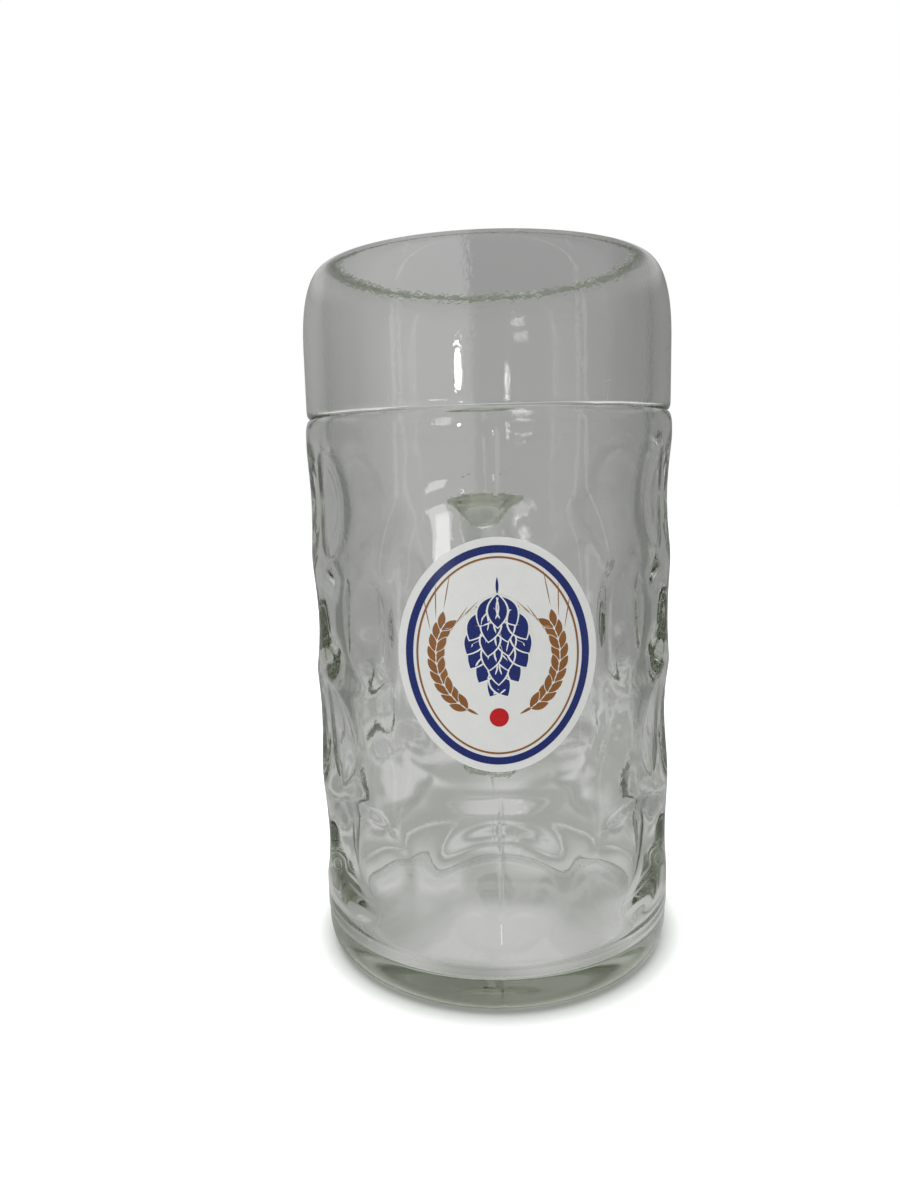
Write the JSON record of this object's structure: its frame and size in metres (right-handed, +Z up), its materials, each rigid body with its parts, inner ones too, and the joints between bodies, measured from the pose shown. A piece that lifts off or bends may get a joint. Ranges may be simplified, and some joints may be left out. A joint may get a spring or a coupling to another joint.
{
  "type": "glass beer stein",
  "caption": "Tall dimpled glass beer stein with a smooth drinking collar, a fused glass handle and an oval enamel label on its plain front.",
  "frame": {"origin": "on the table, in the middle of the footprint of body and handle together", "axes": "+Z up along the glass, the label faces -Y, the handle stands out to +Y"},
  "size_m": [0.1066, 0.1526, 0.2],
  "materials": {
    "clear_glass": "gloss",
    "white_enamel": "gloss",
    "blue_enamel": "gloss",
    "gold_enamel": "gloss",
    "red_enamel": "gloss"
  },
  "bodies": {
    "root": {"mug_body": "clear_glass", "handle": "clear_glass", "label_ground": "white_enamel", "border_ring": "blue_enamel", "gold_keyline": "gold_enamel", "hop_cone": "blue_enamel", "barley_ear_right": "gold_enamel", "barley_ear_left": "gold_enamel", "red_knot": "red_enamel"}
  },
  "joints": []
}
